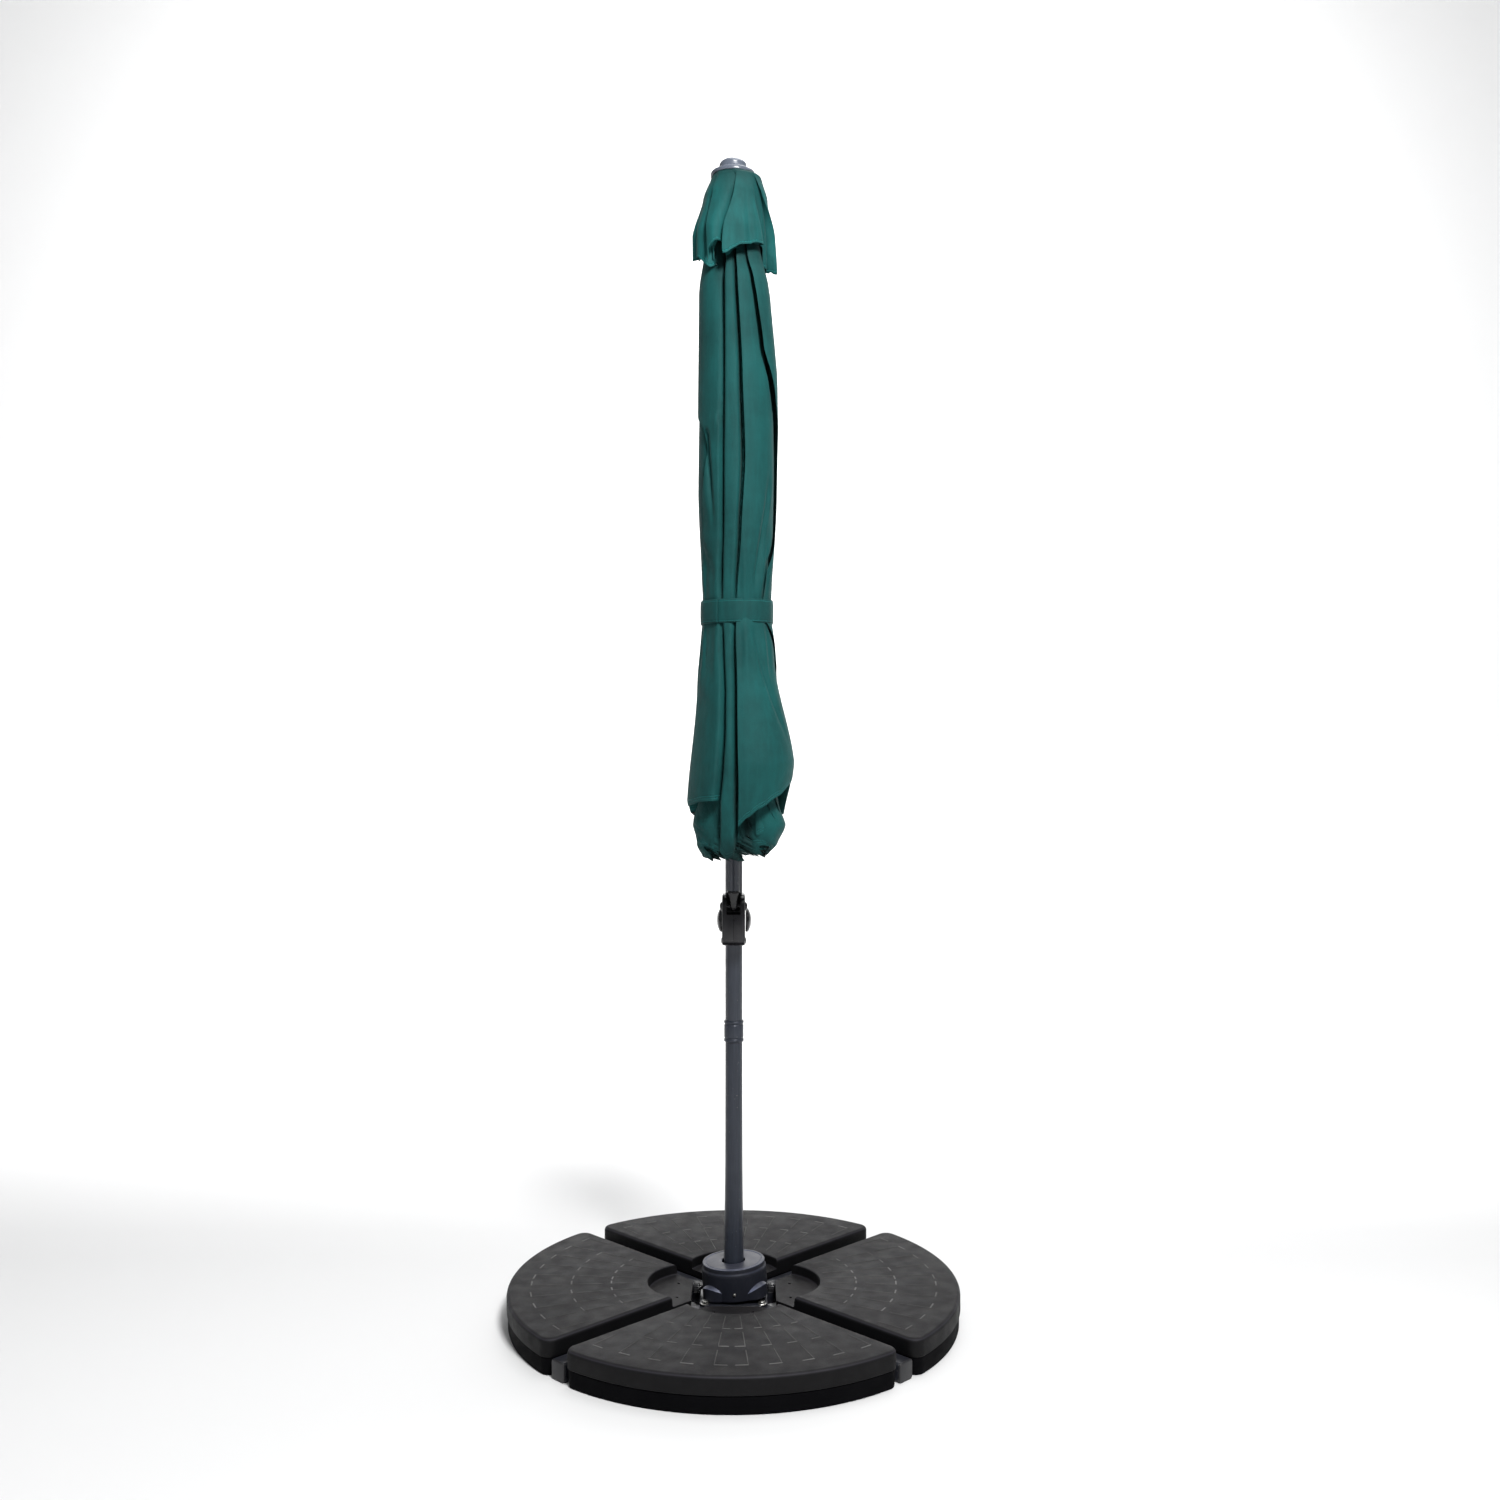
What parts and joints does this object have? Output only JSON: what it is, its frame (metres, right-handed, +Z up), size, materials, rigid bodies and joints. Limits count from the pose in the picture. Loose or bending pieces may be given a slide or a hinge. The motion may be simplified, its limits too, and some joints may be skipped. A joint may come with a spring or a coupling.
{
  "type": "cantilever patio umbrella with base",
  "caption": "Furled cantilever patio umbrella: canopy hung beside a mast on a folding arm with a sliding carriage, on a cross base held by quarter-round weights.",
  "frame": {"origin": "on the ground at the middle of the base, under the mast's axis", "axes": "+Z up along the mast, -Y towards the hanging canopy, +X to the right as seen from the canopy's side"},
  "size_m": [1, 1, 2.5087],
  "materials": {
    "painted_steel": "gloss dark grey powder coat",
    "mast_paint": "satin dark grey powder coat",
    "rib_paint": "satin",
    "zinc_steel": "plated",
    "black_plastic": "satin moulded",
    "gloss_black_plastic": "gloss moulded",
    "weight_plastic": "pebbled moulded",
    "cover_plastic": "satin moulded",
    "green_cloth": "woven polyester"
  },
  "bodies": {
    "base": {"cross_beam_long": "painted_steel", "cross_beam_half_1": "painted_steel", "cross_beam_half_2": "painted_steel", "beam_cap_1": "black_plastic", "beam_cap_2": "black_plastic", "beam_cap_3": "black_plastic", "beam_cap_4": "black_plastic", "base_plate": "painted_steel", "base_bolt_1": "zinc_steel", "base_bolt_2": "zinc_steel", "base_bolt_3": "zinc_steel", "base_bolt_4": "zinc_steel", "mast_socket": "painted_steel", "hub_cover": "cover_plastic"},
    "weight_front": {"weight_front_shell": "weight_plastic", "weight_front_tray": "weight_plastic"},
    "weight_right": {"weight_right_shell": "weight_plastic", "weight_right_tray": "weight_plastic"},
    "weight_back": {"weight_back_shell": "weight_plastic", "weight_back_tray": "weight_plastic"},
    "weight_left": {"weight_left_shell": "weight_plastic", "weight_left_tray": "weight_plastic"},
    "clamp_knob_left": {"clamp_knob_left": "black_plastic"},
    "clamp_knob_right": {"clamp_knob_right": "black_plastic"},
    "mast": {"mast_lower": "mast_paint", "mast_upper": "mast_paint", "mast_coupling": "black_plastic", "mast_joiner": "zinc_steel", "mast_head": "black_plastic"},
    "strut": {"strut_bar_left": "mast_paint", "strut_bar_right": "mast_paint"},
    "boom": {"boom_tube": "mast_paint", "boom_foot": "black_plastic", "boom_head": "black_plastic", "hang_bolt": "zinc_steel"},
    "carriage": {"carriage_shell_left": "gloss_black_plastic", "carriage_shell_right": "gloss_black_plastic", "boom_pivot_bolt": "zinc_steel", "carriage_bolt": "zinc_steel", "carriage_grip": "gloss_black_plastic"},
    "winch": {"winch_drum": "zinc_steel", "winch_disc_left": "gloss_black_plastic", "winch_disc_right": "gloss_black_plastic"},
    "lock_lever": {"lock_lever": "black_plastic"},
    "canopy": {"crown_hub": "black_plastic", "centre_post": "zinc_steel", "runner": "black_plastic", "rib_1": "rib_paint", "rib_2": "rib_paint", "rib_3": "rib_paint", "rib_4": "rib_paint", "rib_5": "rib_paint", "rib_6": "rib_paint", "rib_7": "rib_paint", "rib_8": "rib_paint", "crown_cap": "gloss_black_plastic", "canopy_cloth": "green_cloth", "vent_flap": "green_cloth", "canopy_strap": "green_cloth"}
  },
  "joints": [
    {"name": "weight_front_lift", "type": "slide", "parent": "base", "child": "weight_front", "axis": [0, 0, 1], "range_m": [0, 0.15]},
    {"name": "weight_right_lift", "type": "slide", "parent": "base", "child": "weight_right", "axis": [0, 0, 1], "range_m": [0, 0.15]},
    {"name": "weight_back_lift", "type": "slide", "parent": "base", "child": "weight_back", "axis": [0, 0, 1], "range_m": [0, 0.15]},
    {"name": "weight_left_lift", "type": "slide", "parent": "base", "child": "weight_left", "axis": [0, 0, 1], "range_m": [0, 0.15]},
    {"name": "knob_left_turn", "type": "hinge", "parent": "base", "child": "clamp_knob_left", "pos_m": [-0.076, 0, 0.059], "axis": [-1, 0, 0], "range_deg": [0, 720]},
    {"name": "knob_right_turn", "type": "hinge", "parent": "base", "child": "clamp_knob_right", "pos_m": [0.076, 0, 0.059], "axis": [1, 0, 0], "range_deg": [0, 720]},
    {"name": "mast_swivel", "type": "hinge", "parent": "base", "child": "mast", "pos_m": [0, 0, 0.052], "axis": [0, 0, 1], "continuous": true},
    {"name": "strut_swing", "type": "hinge", "parent": "mast", "child": "strut", "pos_m": [0, -0.05, 2.254], "axis": [-1, 0, 0], "range_deg": [0, 58]},
    {"name": "boom_fold", "type": "hinge", "parent": "strut", "child": "boom", "pos_m": [0, -0.05, 1.584], "axis": [1, 0, 0], "range_deg": [0, 116]},
    {"name": "carriage_pivot", "type": "hinge", "parent": "boom", "child": "carriage", "pos_m": [0, -0.05, 0.914], "axis": [-1, 0, 0], "range_deg": [0, 58]},
    {"name": "canopy_hang", "type": "hinge", "parent": "boom", "child": "canopy", "pos_m": [0, -0.052, 2.453], "axis": [-1, 0, 0], "range_deg": [0, 58]},
    {"name": "winch_turn", "type": "hinge", "parent": "carriage", "child": "winch", "pos_m": [0, 0.042, 0.873], "axis": [1, 0, 0], "continuous": true},
    {"name": "lock_lever_squeeze", "type": "hinge", "parent": "carriage", "child": "lock_lever", "pos_m": [0, 0.076, 0.887], "axis": [1, 0, 0], "range_deg": [0, 12], "stiffness_Nm_per_rad": 0.6, "springref_deg": -8.59}
  ],
  "couplings": [
    {"joint": "strut_swing", "follows": "boom_fold", "ratio": 0.5},
    {"joint": "carriage_pivot", "follows": "boom_fold", "ratio": 0.5},
    {"joint": "canopy_hang", "follows": "boom_fold", "ratio": 0.5}
  ]
}
